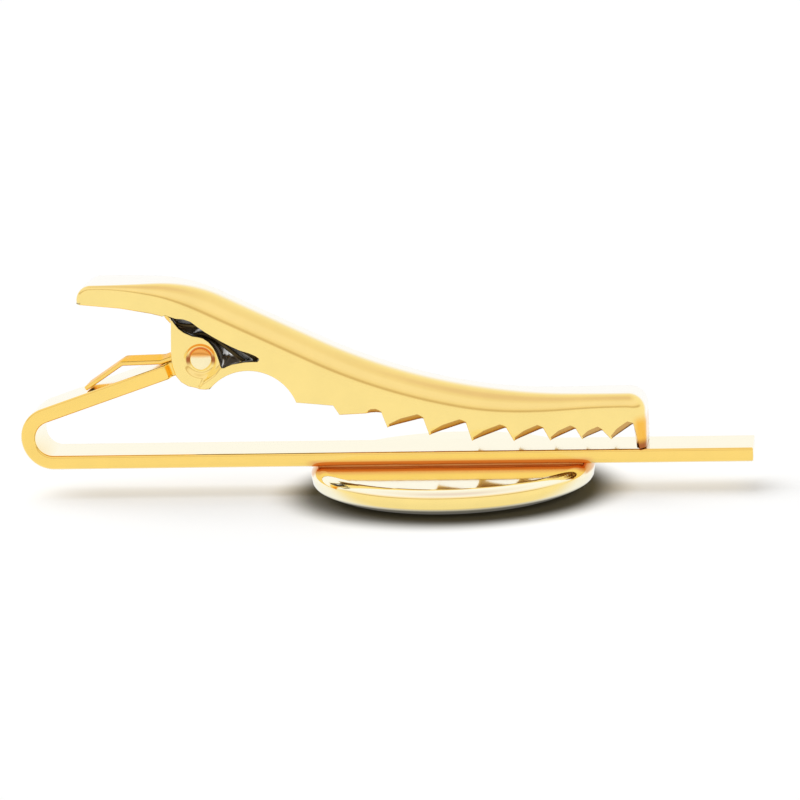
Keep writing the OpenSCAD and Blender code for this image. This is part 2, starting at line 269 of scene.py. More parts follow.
def maths(nt, operation, first, second=0.0, clamp=False):
    """A sum whose two inputs are each a socket or a number."""
    m = node(nt, "ShaderNodeMath", operation=operation, use_clamp=clamp)
    for slot, source in zip(m.inputs, (first, second)):
        if isinstance(source, float):
            slot.default_value = source
        else:
            nt.links.new(source, slot)
    return m.outputs[0]


def mixed(nt, fac, below, over):
    """Colour below, gone over to colour over where fac is 1. Each is a socket or a plain colour."""
    m = node(nt, "ShaderNodeMix", data_type="RGBA")
    nt.links.new(fac, m.inputs[0])
    for slot, source in ((m.inputs[6], below), (m.inputs[7], over)):
        if isinstance(source, tuple):
            slot.default_value = (*source, 1)
        else:
            nt.links.new(source, slot)
    return m.outputs[2]


def either(nt, fac, below, over):
    """Shader below, gone over to shader over where fac is 1."""
    m = node(nt, "ShaderNodeMixShader")
    for slot, source in zip(m.inputs, (fac, below, over)):
        nt.links.new(source, slot)
    return m.outputs[0]


def length_of(nt, source):
    size = node(nt, "ShaderNodeVectorMath", operation="LENGTH")
    nt.links.new(source, size.inputs[0])
    return size.outputs["Value"]


def band(nt, co, axis, start, end, mirror=False):
    """0 at start and 1 at end, in mm along an axis of the shared frame or, as R, from the hinge line."""
    if axis == "R":
        flat = node(nt, "ShaderNodeMapping", Scale=(1, 0, 1), Location=(-HX * MM, 0, -HZ * MM))
        nt.links.new(co.outputs["Object"], flat.inputs[0])
        out = length_of(nt, flat.outputs[0])
    else:
        sep = node(nt, "ShaderNodeSeparateXYZ")
        nt.links.new(co.outputs["Object"], sep.inputs[0])
        out = sep.outputs[axis]
    if mirror:
        out = maths(nt, "ABSOLUTE", out)
    if start > end:
        return scaled(nt, out, end * MM, start * MM, 1.0, 0.0)
    return scaled(nt, out, start * MM, end * MM)


# Materials
# Colours of painted light: a near-black painted shade, a reddish painted shade by the solder, red, brown,
# orange and amber painted shade and reflections, and a cream painted highlight
PAINTED_SHADE, PAINTED_GAP_SHADE, RED = (0.075, 0.052, 0.026), (0.8, 0.4, 0.13), (0.72, 0.2, 0.045)
BROWN, ORANGE, AMBER = (0.4, 0.12, 0.03), (0.95, 0.52, 0.08), (0.9, 0.42, 0.1)
CREAM, PALE = (1.0, 0.955, 0.74), (1.0, 0.985, 0.93)
MOTTLE, MOTTLE_SCALE = 0.05, 420.0
MARK_STRETCH, MARK_SCALE, MARK_DEPTH, COAT_ROUGH = 100.0, 9.0, 0.00002, 0.04


def mottled(nt, co, colour):
    """The plating's colour, a little darker in soft patches."""
    patch = node(nt, "ShaderNodeTexNoise", Scale=MOTTLE_SCALE, Detail=4.0, Roughness=0.6)
    nt.links.new(co.outputs["Object"], patch.inputs["Vector"])
    tint = node(nt, "ShaderNodeValToRGB")
    dark, light = tint.color_ramp.elements
    dark.position, light.position = 0.3, 0.7
    dark.color = (*[c * (1 - MOTTLE) for c in colour], 1)
    light.color = (*colour, 1)
    nt.links.new(patch.outputs["Fac"], tint.inputs["Fac"])
    return tint.outputs["Color"]


def paint_light(nt, co, b, shown, painted_light):
    """Lays each patch of painted light or shade over the colour where all of its bands overlap. Painted shade
    also dulls the metal.
    """
    for zone, over in painted_light:
        fac = band(nt, co, *zone[0])
        for part in zone[1:]:
            fac = maths(nt, "MULTIPLY", fac, band(nt, co, *part))
        shown = mixed(nt, fac, shown, over)
        if over is PAINTED_SHADE:
            nt.links.new(maths(nt, "SUBTRACT", 1.0, fac), b.inputs["Metallic"])
    return shown


def metal(name, colour, rough, spread, grain=0.02, coat=0.0, scratch=(1, 14, 14), pale=0.0, wash=PALE,
          glance=(0.42, 0.8), painted_light=()):
    """A plated metal: mottled, washed paler at a glancing look as a painted sheen, with painted light and
    shade laid over in patches, and fine polishing marks.
    """
    m = bpy.data.materials.new(name)
    m.use_nodes = True
    nt = m.node_tree
    b = nt.nodes["Principled BSDF"]
    b.inputs["Metallic"].default_value = 1.0
    b.inputs["Coat Weight"].default_value = coat
    b.inputs["Coat Roughness"].default_value = COAT_ROUGH
    co = node(nt, "ShaderNodeTexCoord")
    shown = mottled(nt, co, colour)
    # painted sheen: the colour is washed paler towards a glancing look
    if pale:
        look = node(nt, "ShaderNodeLayerWeight", Blend=0.5)
        shown = mixed(nt, scaled(nt, look.outputs["Facing"], *glance, 0.0, pale), shown, wash)
    nt.links.new(paint_light(nt, co, b, shown, painted_light), b.inputs["Base Color"])
    stretch = node(nt, "ShaderNodeMapping", Scale=tuple(s * MARK_STRETCH for s in scratch))
    nt.links.new(co.outputs["Object"], stretch.inputs["Vector"])
    marks = node(nt, "ShaderNodeTexNoise", Scale=MARK_SCALE, Detail=6.0, Roughness=0.7)
    nt.links.new(stretch.outputs["Vector"], marks.inputs["Vector"])
    worn = scaled(nt, marks.outputs["Fac"], 0.3, 0.75, rough, rough + spread, kind="LINEAR")
    nt.links.new(worn, b.inputs["Roughness"])
    bump = node(nt, "ShaderNodeBump", Strength=grain, Distance=MARK_DEPTH)
    nt.links.new(marks.outputs["Fac"], bump.inputs["Height"])
    nt.links.new(bump.outputs["Normal"], b.inputs["Normal"])
    return m


def bar_metal():
    """The strip, with painted shade on the arm behind the ear and a reddish painted shade beside the solder.
    """
    arm_end_shade = (("X", HX - 2.0, HX - 1.4), ("Z", 6.5, 7.5))
    gap_shade = (("Z", 2.75, 2.4), ("X", 10.3, 9.3, True))
    return metal("bar_gold", (1.0, 0.7, 0.185), rough=0.07, spread=0.08, coat=0.2, pale=0.9, wash=CREAM,
                 painted_light=((arm_end_shade, PAINTED_SHADE), (gap_shade, PAINTED_GAP_SHADE)))


def jaw_metal():
    """The jaw, with a red painted shade in the dish round the rivet and brown at its sides, an orange painted
    reflection on the nose, and a brown painted shade at the nose's lip.
    """
    dish_top_shade = (("R", 0.95, 0.85), ("Z", HZ + 0.1, HZ + 0.45))
    dish_side_shade = (("R", 0.68, 0.8), ("R", 1.08, 0.98), ("Z", HZ - 0.5, HZ - 0.05), ("Z", HZ + 0.5, HZ + 0.1))
    # an orange painted reflection low on the nose, and a brown painted shade on its lip
    nose = (("X", HX + 29.9, HX + 30.5), ("Z", 5.7, 4.9))
    lip = (("X", HX + 29.9, HX + 30.4), ("Z", 4.0, 3.4))
    return metal("jaw_gold", (1.0, 0.775, 0.28), rough=0.09, spread=0.08, coat=0.2, pale=0.95,
                 painted_light=((dish_top_shade, RED), (dish_side_shade, BROWN), (nose, ORANGE), (lip, BROWN)))


def disc_metal():
    """The disc, with a pale painted highlight on its bevel and a reddish painted shade beside the solder."""
    # the bevel's cream is a painted highlight
    bevel = (("Z", 1.62, 1.8), ("Z", 2.1, 2.06))
    gap_shade = (("Y", 3.3, 2.4, True), ("Z", 1.5, 1.7))
    return metal("disc_gold", (1.0, 0.78, 0.28), rough=0.05, spread=0.05, coat=0.2, scratch=(6, 6, 6),
                 pale=0.92, wash=CREAM, glance=(0.3, 0.62), painted_light=((bevel, CREAM), (gap_shade, PAINTED_GAP_SHADE)))


def spring_metal():
    """The spring, with painted shade from the ear on, where it runs inside the channel."""
    behind_ear_shade = (("X", HX - 2.1, HX - 1.6),)
    m = metal("spring_gold", (1.0, 0.68, 0.18), rough=0.16, spread=0.1, grain=0.05,
              painted_light=((behind_ear_shade, PAINTED_SHADE),))
    m.node_tree.nodes["Principled BSDF"].inputs["Specular Tint"].default_value = (1.0, 0.72, 0.3, 1.0)
    return m


def pin_metal():
    """The rivet, with painted shade inside the ears and an amber painted shade on the upper half of its ends.
    """
    stem_shade = (("Y", PIN_HALF, 1.5, True),)
    # an amber painted shade on the upper half of the rivet's ends
    upper = (("Z", HZ + 0.1, HZ + 0.4),)
    return metal("pin_gold", (1.0, 0.88, 0.55), rough=0.12, spread=0.1, grain=0.06, scratch=(8, 8, 8),
                 painted_light=((stem_shade, PAINTED_SHADE), (upper, AMBER)))


bar_gold, jaw_gold, disc_gold = bar_metal(), jaw_metal(), disc_metal()
spring_gold, pin_gold = spring_metal(), pin_metal()
solder_gold = metal("solder_gold", (0.62, 0.27, 0.08), rough=0.3, spread=0.2, grain=0.1, scratch=(9, 9, 9))
# the sheared edges are duller and darker, and darkened further as painted shade of the dark reflections on
# the teeth
sheared_shaded_gold = metal("sheared_edge_painted_shade", (0.66, 0.4, 0.14), rough=0.3, spread=0.2, grain=0.15, scratch=(14, 14, 3))
# the channel's inside: a darker gold as painted shade, near black further in
inside_shaded_gold = metal("channel_inside_painted_shade", (0.8, 0.52, 0.17), rough=0.25, spread=0.2, grain=0.1,
                    painted_light=(((("X", HX + 6.4, HX + 4.4),), PAINTED_SHADE),))


# The folded strip
def bar_piece():
    skin = Skin()
    mid = DISC_T + BAR_T / 2
    path = [(BAR_FRONT, mid)]
    path += [(x, mid) for x in np.linspace(BAR_FRONT - END_STEP, -BAR_BACK + BEND_STEP, 30)]
    for a in np.linspace(270, 90 + ARM_SLOPE, 40):
        r = math.radians(a)
        path.append((-BAR_BACK + BEND_MID * math.cos(r), BEND_Z + BEND_MID * math.sin(r)))
    start = np.array(path[-1])
    arm = np.array([ARM_X, ARM_Z])
    neck = ARM_L - NECK_L
    path += [tuple(start + arm * u) for u in np.linspace(ARM_STEP, neck - NECK_BEFORE, 14)]
    path += [tuple(start + arm * u) for u in np.linspace(neck - NECK_AFTER, ARM_L - ARM_SHORT, 16)]
    total = float(np.sum(np.linalg.norm(np.diff(np.array(path), axis=0), axis=1)))
    neck_from = total - (NECK_L - ARM_SHORT)
    neck_w = 2 * (JAW_W / 2 - EAR_INSET - SHEET - NECK_GAP)

    def section(t, inset):
        """The strip's outer corners are wide on the bar and tighter on the arm."""
        s = t * total
        k = float(ease((s - (neck_from - NECK_LEAD)) / NECK_RUN))
        on_arm = float(ease((s - BAR_FRONT - BAR_BACK - ARM_R_FROM) / ARM_R_RUN))
        high = BAR_OUT_R + (ARM_OUT_R - BAR_OUT_R) * on_arm
        return section_ring(BAR_W + (neck_w - BAR_W) * k, BAR_T, (BAR_IN_R, high), inset, 7)

    sweep(skin, path, section, STRIP_CAP)
    y1, bore = neck_w / 2, PIN_R + BORE_GAP
    prof = [(bore, -y1 + BORE_EDGE)]
    prof += [(bore + BORE_EDGE * (1 - math.cos(a)), -y1 + BORE_EDGE * (1 - math.sin(a)))
             for a in quarter(3)[1:]]
    prof += [(EYE_R - EYE_EDGE * (1 - math.sin(a)), -y1 + EYE_EDGE * (1 - math.cos(a)))
             for a in quarter(4)]
    prof += [(r, -y) for r, y in reversed(prof)]
    prof.append(prof[0])
    lathe(skin, prof, "Y", np.array([HX, 0, HZ]), 72)
    return skin.build("folded_bar", [bar_gold])


bar = bar_piece()
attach(bar, "bar")
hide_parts("front_bar")


# The disc and its solder
def disc_back(x, y):
    """Height of the disc's back, flat in the middle with a rounded bevel to the rim."""
    out = min(max((math.hypot(x, y) - DISC_R + BEVEL_IN) / BEVEL_IN, 0), 1)
    return DISC_T - BEVEL_DOWN * (1 - math.sqrt(1 - out * out))


def disc_piece():
    skin = Skin()
    dome = ((DISC_R - FACE_R) ** 2 + RIM_H ** 2) / (2 * RIM_H)
    last = math.asin((DISC_R - FACE_R) / dome)
    in_r = DISC_R - BEVEL_IN
    prof = [(FACE_R * k / 5, 0) for k in range(6)]
    prof += [(FACE_R + dome * math.sin(last * k / 12), dome * (1 - math.cos(last * k / 12)))
             for k in range(1, 12)]
    prof += [(DISC_R - inward_by, RIM_H + up_by) for inward_by, up_by in RIM_STEPS]
    prof += [(in_r + BEVEL_IN * math.cos(a), DISC_T - BEVEL_DOWN * (1 - math.sin(a))) for a in quarter(22)]
    prof += [(in_r * (1 - k / 8), DISC_T) for k in range(1, 9)]
    lathe(skin, prof, "Z", np.zeros(3), 192)
    return skin.build("round_disc_body", [disc_gold])


disc = disc_piece()
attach(disc, "bar")
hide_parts("round_disc")


def solder_piece():
    """Two wavy fillets: out along the disc's back, up a hollow face, and back under the bar."""
    rng = np.random.default_rng(7)
    skin = Skin()
    flat = BAR_W / 2 - BAR_OUT_R
    half = math.sqrt((DISC_R - SOLDER_SHORT) ** 2 - (BAR_W / 2) ** 2)
    n = SOLDER_STEPS
    for side in (1, -1):
        draws = rng.normal(0, 1, n + 1 + SOLDER_SMOOTH)
        wave = np.convolve(draws, np.ones(SOLDER_SMOOTH) / SOLDER_SMOOTH, "same")[: n + 1]
        rings = []
        for i in range(n + 1):
            x = -half + 2 * half * i / n
            end = min(1.0, SOLDER_ENDS * min(i, n - i) / n)
            full = SOLDER_LOW_SHARE + (1 - SOLDER_LOW_SHARE) * math.sqrt(end)
            h = (SOLDER_H + SOLDER_WAVE * wave[i]) * full
            reach = math.sqrt(max(BAR_OUT_R ** 2 - (BAR_OUT_R - h) ** 2, 0))
            top, lip = DISC_T + h, flat + reach
            foot = lip + SOLDER_FLARE_SHARE * (top - disc_back(x, lip))
            low, heel = disc_back(x, foot), flat - SOLDER_UNDER
            pts = [(x, side * heel, disc_back(x, heel) - CLEAR), (x, side * foot, low - CLEAR)]
            for k in range(1, 9):
                rise = (k / 8) ** SOLDER_HOLLOW
                out = (1 - k / 8) ** SOLDER_HOLLOW
                pts.append((x, side * (lip + (foot - lip) * out), low + (top - low) * rise))
            pts += [(x, side * (lip - SOLDER_LAP), top), (x, side * heel, DISC_T + CLEAR / 2)]
            rings.append(skin.add(pts))
        for a, b in zip(rings, rings[1:]):
            skin.strip(a, b, closed=True)
        skin.face(rings[0])
        skin.face(rings[-1])
    return skin.build("solder_fillets", [solder_gold])


solder = solder_piece()
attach(solder, "bar")
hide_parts("disc_solder")


# The hinge pin
def pin_piece():
    skin = Skin()
    half = [(PIN_R, 0.0), (PIN_R, PIN_HALF)]
    half += [(HEAD_R * math.cos(a), HEAD_FROM + HEAD_RISE * math.sin(a))
             for a in np.linspace(HEAD_TUCK, math.pi / 2, 14)]
    half[-1] = (0.0, HEAD_FROM + HEAD_RISE)
    prof = [(r, -y) for r, y in reversed(half)] + half[1:]
    lathe(skin, prof, "Y", np.array([HX, 0, HZ]), 64)
    return skin.build("hinge_rivet", [pin_gold])


pin = pin_piece()
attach(pin, "jaw")
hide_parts("hinge_pin")


# The leaf spring
def unit(a):
    return np.array([math.cos(a), math.sin(a)])


def spring_path():
    """Foot, crest and heel on the arm, over the eye, a tight fold, and a bowed tail up to the tab."""
    hinge = np.array([HX, HZ])
    along, off = np.array([ARM_X, ARM_Z]), np.array([-ARM_Z, ARM_X])
    low = BAR_T / 2 + CLEAR + SPRING_T / 2
    ring = EYE_R + CLEAR + SPRING_T / 2
    foot, heel, lift = (hinge - along * u + off * low for u in (SPRING_FOOT, SPRING_HEEL, SPRING_LIFT))
    crest = hinge - along * SPRING_CREST + off * (BAR_T / 2 + SPRING_ARCH)
    rel = lift - hinge
    from_dir = (math.atan2(rel[1], rel[0]) - math.acos(ring / np.linalg.norm(rel))) % (2 * math.pi)
    path = refine(fillet([foot, crest, heel, lift, hinge + ring * unit(from_dir)], SPRING_BENDS), SPRING_STEP)
    leave, tail_dir = math.radians(SPRING_LEAVE), math.radians(TAIL_DIR)
    path += [hinge + ring * unit(from_dir + (leave - from_dir) * k / 14) for k in range(1, 15)]
    heading = leave - math.pi / 2
    base, run = path[-1], unit(heading)
    path += [base + run * SPRING_RUN * k / 9 for k in range(1, 10)]
    centre = path[-1] + FOLD_R * unit(heading + math.pi / 2)
    path += [centre + FOLD_R * unit(heading + (tail_dir - heading) * k / 12 - math.pi / 2)
             for k in range(1, 13)]
    base, run = path[-1], unit(tail_dir)
    tail = (HZ + TAB_RISE - SHEET - CLEAR - SPRING_T / 2 - base[1]) / run[1]
    for k in range(1, 31):
        part = max(k / 30 - TAIL_BOW_SHARE, 0) / (1 - TAIL_BOW_SHARE)
        sag = TAIL_BOW * math.sin(math.pi * part) ** 2
        path.append(base + tail * k / 30 * run + sag * unit(tail_dir + math.pi / 2))
    return path


def spring_piece():
    skin = Skin()

    def section(t, inset):
        return section_ring(SPRING_W, SPRING_T, (SPRING_EDGE, SPRING_EDGE), inset, 4)

    sweep(skin, spring_path(), section, SPRING_CAP)
    return skin.build("leaf_spring", [spring_gold])


spring = spring_piece()
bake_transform(spring)
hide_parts("jaw_spring")


# The jaw, in mm from the hinge line until it is moved to its place
SKIRT_SHARES = ((1, 0.747), (0.634, 0.694), (0.387, 0.622), (0.306, 0.588))
SKIRT = [(-x * TAB_REACH, z * TAB_RISE) for x, z in SKIRT_SHARES]
SLIT = ((-2.5, 3.2), (-2.22, 3.27), (-1.96, 3.16), (-1.52, 3.01), (-1.01, 2.97), (-0.51, 2.79), (-0.01, 2.39),
        (0.48, 2.03), (0.98, 1.71), (1.6, 1.34), (2.22, 1.0), (2.85, 0.7), (3.48, 0.5), (3.98, 0.27),
        (4.17, 0.12), (4.18, 0.02), (4.06, -0.1), (3.71, -0.09), (3.19, -0.11), (2.81, -0.17), (2.29, -0.25),
        (1.9, -0.4), (1.7, -0.5), (1.54, -0.5), (1.43, -0.37), (1.32, 0.02), (1.18, 0.47), (0.95, 0.93),
        (0.65, 1.29), (0.27, 1.55), (-0.04, 1.64), (-0.49, 1.71), (-1.05, 1.96), (-1.43, 2.24),
        (-1.73, 2.6), (-1.97, 2.96), (-2.1, 3.06))
EAR_FRONT = ((-2.1, 3.0), (-2.02, 2.58), (-2.06, 1.49), (-2.1, 0.19), (-2.06, -0.45), (-1.86, -1.08),
             (-1.43, -1.57), (-0.93, -1.86), (-0.23, -2.02), (0.38, -2.05))
CREASE = ((1.62, -0.46), (1.15, -1.03), (0.62, -1.41), (0.25, -1.64), (-0.05, -2.15))
EAR_AREA = CREASE + ((-0.93, -2.1), (-1.55, -1.72), (-2.05, -1.15), (-2.25, -0.45), (-2.3, 0.2), (-2.25, 1.5),
                     (-2.2, 2.6), (-2.4, 3.17), (-2.15, 3.17), (-1.9, 3.04), (-1.5, 2.65), (-1.1, 2.5),
                     (-0.5, 2.3), (0.0, 2.0), (0.4, 1.8), (0.85, 1.45), (1.25, 1.0), (1.45, 0.5),
                     (1.58, 0.0), (1.68, -0.38))
CREASE, EAR_AREA = np.array(CREASE), np.array(EAR_AREA)
ARCH_MID, ARCH_R, ARCH_FROM, ARCH_TO_Z = (3.35, -4.3), 3.55, (0.64, -2.007), -3.0
WALL_END = JAW_REACH - NOSE_LOW
LIP_Z = BAR_TOP + LIP_GAP
BITE_X, BITE_H, FIRST_TIP_Z = 6.66, 3.64, -3.05
BITE_L = JAW_REACH - BITE_X
TIP_SHARES = ((0, 1), (0.124, 0.753), (0.261, 0.495), (0.381, 0.335), (0.503, 0.212), (0.623, 0.2),
              (0.727, 0.2), (0.818, 0.217), (0.901, 0.209))
ROOT_SHARES = ((0.107, 0.934), (0.245, 0.786), (0.365, 0.662), (0.487, 0.563), (0.602, 0.456), (0.708, 0.437),
               (0.801, 0.418), (0.877, 0.382), (0.9525, 0.52))
# Each edge's rounding and the step between its points
SKIRT_CUT, SLIT_CUT, EAR_CUT = (0.2, 0.4), (0.05, 0.14), (0.12, 0.2)
ARCH_CUT, DROP_CUT = (0.06, 0.3), (0.05, 0.2)
TOOTH_STEPS, TOOTH_EDGE, TOOTH_BEVEL, SECOND_BEVEL, INNER_EDGE = 16, 0.06, 0.34, 0.24, 0.06
GROW_SHARE, GROW_RATE, FALL_SHARE, SECOND_SHARE, SECOND_RUN_SHARE = 0.35, 1.6, 0.9, 0.62, 0.12
LIP_ROOT_SHARE, FOLDED_SHARE, LEAST_TURN_SHARE = 0.5, 0.3, 0.5
NOSE_ROWS, ARC = 12, 12
SHEARED_SHADED, INSIDE = 1, 2


def jaw_stations():
    """Stations on the line of the jaw's top, from the tab's end to the nose: (x, z, slope in degrees)."""
    def down(a):
        return np.array([math.cos(math.radians(a)), -math.sin(math.radians(a))])

    def up(a):
        return np.array([math.sin(math.radians(a)), math.cos(math.radians(a))])

    top = np.array([-TAB_REACH, TAB_RISE])
    corner = top + np.array([TAB_END_R, -TAB_END_R])
    tab_in = corner + TAB_END_R * up(TAB_SLOPE)
    tab_x = (top + TAB_L * down(TAB_SLOPE))[0]
    tab_out = np.array([tab_x, tab_in[1] - (tab_x - tab_in[0]) * math.tan(math.radians(TAB_SLOPE))])
    back_in = tab_out + BACK_R * (up(BACK_SLOPE) - up(TAB_SLOPE))
    back_out = back_in + BACK_L * down(BACK_SLOPE)
    level = back_out + LEVEL_R * (up(BACK_SLOPE) - up(NOSE_SLOPE))
    nose_x = JAW_REACH - NOSE_R + NOSE_R * up(NOSE_SLOPE)[0]
    reach = (nose_x - level[0]) / math.cos(math.radians(NOSE_SLOPE))
    nose = level + reach * down(NOSE_SLOPE) - NOSE_R * up(NOSE_SLOPE)

    out = [(np.array([-TAB_REACH, z]), -90.0) for z in np.linspace(SKIRT[0][1], corner[1], 4)[:-1]]
    out += [(corner + TAB_END_R * up(a), a) for a in np.linspace(-90, TAB_SLOPE, 13)]
    out += [(tab_in + (tab_out - tab_in) * t, TAB_SLOPE) for t in np.linspace(0, 1, 12)[1:]]
    out += [(tab_out + BACK_R * (up(a) - up(TAB_SLOPE)), a)
            for a in np.linspace(TAB_SLOPE, BACK_SLOPE, 17)[1:]]
    out += [(back_in + BACK_L * t * down(BACK_SLOPE), BACK_SLOPE) for t in np.linspace(0, 1, 9)[1:]]
    out += [(back_out + LEVEL_R * (up(BACK_SLOPE) - up(a)), a)
            for a in np.linspace(BACK_SLOPE, NOSE_SLOPE, 30)[1:]]
    out += [(level + reach * t * down(NOSE_SLOPE), NOSE_SLOPE) for t in np.linspace(0, 1, 9)[1:]]
    out += [(nose + NOSE_R * up(a), a) for a in np.linspace(NOSE_SLOPE, 90, 15)[1:]]
    return [(p[0], p[1], a) for p, a in out]


STATIONS = jaw_stations()


def shoulder_at(x, a):
    """Radius between the top and the side walls: small at the tab, wide at the back, less at the nose."""
    if a < 0:
        return TAB_SHOULDER
    rise = float(ease((x - SHOULDER_FROM) / SHOULDER_RUN))
    fall = float(ease((x - NOSE_FROM) / NOSE_RUN))
    return TAB_SHOULDER + (SHOULDER - TAB_SHOULDER) * rise + (NOSE_SHOULDER - SHOULDER) * fall


def lip_line(x):
    """Height of the side outline over the nose's rounded corner."""
    root_z = BAR_TOP + LIP_ROOT_SHARE * BITE_H
    t = (x - WALL_END) / TOE_REACH
    return LIP_Z if t >= 1 else root_z + (LIP_Z - root_z) * max(t, 0)


def cap_grid(depth):
    """Rows of points over the top, the tab's end and the nose, at a depth under the outer face."""
    rows = []
    angles = quarter(ARC)
    for x, z, a in STATIONS:
        r = shoulder_at(x, a)
        n = (math.sin(math.radians(a)), math.cos(math.radians(a)))
        w = JAW_W / 2 - r
        sec = [(w + (r - depth) * math.cos(f), -r + (r - depth) * math.sin(f)) for f in angles]
        sec += [(w * k, -depth) for k in (0.5, 0.0, -0.5)]
        sec += [(-y, d) for y, d in reversed(sec[: ARC + 1])]
        rows.append([(x + n[0] * d, y, z + n[1] * d) for y, d in sec])
    top = rows[-1]
    last = len(top) - 1
    for j in range(1, NOSE_ROWS + 1):
        row = []
        r = NOSE_SHOULDER + (NOSE_LOW - NOSE_SHOULDER) * j / NOSE_ROWS
        for k, p in enumerate(top):
            corner = min(k, last - k)
            f = angles[corner] if corner <= ARC else math.pi / 2
            low = lip_line(WALL_END + NOSE_LOW * math.sin(f))
            y = p[1] * (JAW_W / 2 - r) / (JAW_W / 2 - NOSE_SHOULDER)
            if corner <= ARC:
                y = math.copysign(JAW_W / 2 - r + (r - depth) * math.cos(f), last / 2 - k)
            x = JAW_REACH - r + (r - depth) * math.sin(f)
            row.append((x, y, p[2] + (low - p[2]) * j / NOSE_ROWS))
        rows.append(row)
    return rows


def tooth_edge(tooth, share):
    """How far the face of a tooth is cut back at a share of its slope, the sheared band along its edge."""
    grow = min(GROW_SHARE + share * GROW_RATE, 1.0)
    size = TOOTH_BEVEL if tooth else 0.0
    if tooth == 1:
        grow = min(max(0.0, (share - SECOND_SHARE) / SECOND_RUN_SHARE), 1.0)
        size = SECOND_BEVEL
    fall = min((1 - share) / (1 - FALL_SHARE), 1.0)
    return TOOTH_EDGE + size * grow * fall


def side_outline():
    """Lower outline of a side wall with its ear: (x, z, rounding, kind), from the tab's end to the nose."""
    out = []

    def put(pts, cut, kind):
        rounding, step = cut
        for p in refine(pts, step):
            if not out or math.hypot(out[-1][0] - p[0], out[-1][1] - p[1]) >= TINY:
                out.append((float(p[0]), float(p[1]), rounding, kind))

    put([(-TAB_REACH + TAB_SHOULDER, SKIRT[0][1])] + SKIRT[1:], SKIRT_CUT, "skirt")
    put(SLIT, SLIT_CUT, "slit")
    put(EAR_FRONT, EAR_CUT, "ear")
    put([ARCH_FROM], ARCH_CUT, "arch")
    a0, a1 = (math.atan2(z - ARCH_MID[1], x - ARCH_MID[0]) for x, z in (ARCH_FROM, (BITE_X, ARCH_TO_Z)))
    n = int(math.degrees(a0 - a1) / 4)
    put([np.array(ARCH_MID) + ARCH_R * unit(a0 + (a1 - a0) * i / n) for i in range(n + 1)],
        ARCH_CUT, "arch")
    for i, (t, r) in enumerate(zip(TIP_SHARES, ROOT_SHARES)):
        tip = (BITE_X + t[0] * BITE_L, BAR_TOP + t[1] * BITE_H if i else FIRST_TIP_Z)
        root = (BITE_X + r[0] * BITE_L, BAR_TOP + r[1] * BITE_H)
        if i == len(TIP_SHARES) - 1:
            root = (WALL_END, lip_line(WALL_END))
        put([out[-1][:2], tip], DROP_CUT, "drop")
        for k in range(1, TOOTH_STEPS + 1):
            q = k / TOOTH_STEPS
            place = (tip[0] + (root[0] - tip[0]) * q, tip[1] + (root[1] - tip[1]) * q)
            out.append((*place, tooth_edge(i, q), "tooth"))
    return out


def inward(points):
    """Unit vectors into the wall (to the left of travel seen with X right and Z up), one per point."""
    p = np.array(points)
    d = np.diff(p, axis=0)
    d /= np.linalg.norm(d, axis=1)[:, None]
    nrm = np.stack([-d[:, 1], d[:, 0]], axis=1)
    out = np.zeros_like(p)
    out[0], out[-1] = nrm[0], nrm[-1]
    for i in range(1, len(p) - 1):
        v = nrm[i - 1] + nrm[i]
        long = np.linalg.norm(v)
        if long < FOLDED_SHARE:
            v, long = nrm[i], 1.0
        v = v / long
        out[i] = v / max(LEAST_TURN_SHARE, float(v @ nrm[i]))
    return out


def inside(points, area):
    """Which of the points lie inside a closed outline."""
    x, z = points[:, 0], points[:, 1]
    hit = np.zeros(len(points), bool)
    for (x0, z0), (x1, z1) in zip(area, np.roll(area, -1, axis=0)):
        if z0 == z1:
            continue
        hit ^= ((z0 > z) != (z1 > z)) & (x < (x1 - x0) * (z - z0) / (z1 - z0) + x0)
    return hit


def away(points, line):
    """Least distance from each point to a polyline."""
    best = np.full(len(points), 99.0)
    for a, b in zip(line, line[1:]):
        t = np.clip((points - a) @ (b - a) / ((b - a) @ (b - a)), 0, 1)
        best = np.minimum(best, np.linalg.norm(points - a - t[:, None] * (b - a), axis=1))
    return best


CREASE_RUN, DISH_RUN, DISH_FROM = 0.36, 0.42, 0.1
LEAN_FROM, LEAN_RUN, FALL_FROM, FALL_RUN = 0.3, 2.4, -1.2, 0.9


def press(points):
    """How far the sheet is pressed in from the side wall's plane at each point."""
    p = np.atleast_2d(np.array(points, float))
    ear = inside(p, EAR_AREA)
    d = np.where(ear, EAR_INSET * ease(away(p, CREASE) / CREASE_RUN), 0.0)
    # the ear leans in towards its top and falls away at its free left edge
    d += np.where(ear, EAR_LEAN * ease((p[:, 1] - LEAN_FROM) / LEAN_RUN), 0.0)
    d += np.where(ear, EAR_FALL * ease((FALL_FROM - p[:, 0]) / FALL_RUN) ** 1.5, 0.0)
    r = np.hypot(p[:, 0], p[:, 1])
    d += DISH_DEPTH * ease((DISH_R + DISH_FROM - r) / DISH_RUN)
    return d


DISH_RINGS, DISH_SPOKES = (0.62, 0.74, 0.86, 0.96, 1.04, 1.12, 1.2, 1.28, 1.37), 64
CREASE_ROWS = (0.0, 0.06, 0.12, 0.18, 0.24, 0.3, 0.37, -0.08)
CREASE_STEP, CREASE_SKIP, DISH_OUT, DISH_SKIP, LEAST_GAP = 0.11, 0.42, 1.4, 1.45, 0.03
EAR_BOX, EAR_LEFT, EAR_RIGHT, EAR_MESH = (-2.2, 2.9, -2.3, 3.1), -2.3, 1.9, 0.12
WALL_BOX, WALL_MESH = (-7.5, 29.5, -6, 5.5), 0.7
ROW_GAP, EAR_GAP, WALL_GAP = 0.045, 0.07, 0.25


def mesh_points(box, step):
    x0, x1, z0, z1 = box
    gx, gz = np.meshgrid(np.arange(x0, x1, step), np.arange(z0, z1, step))
    return np.stack([gx.ravel(), gz.ravel()], axis=1)


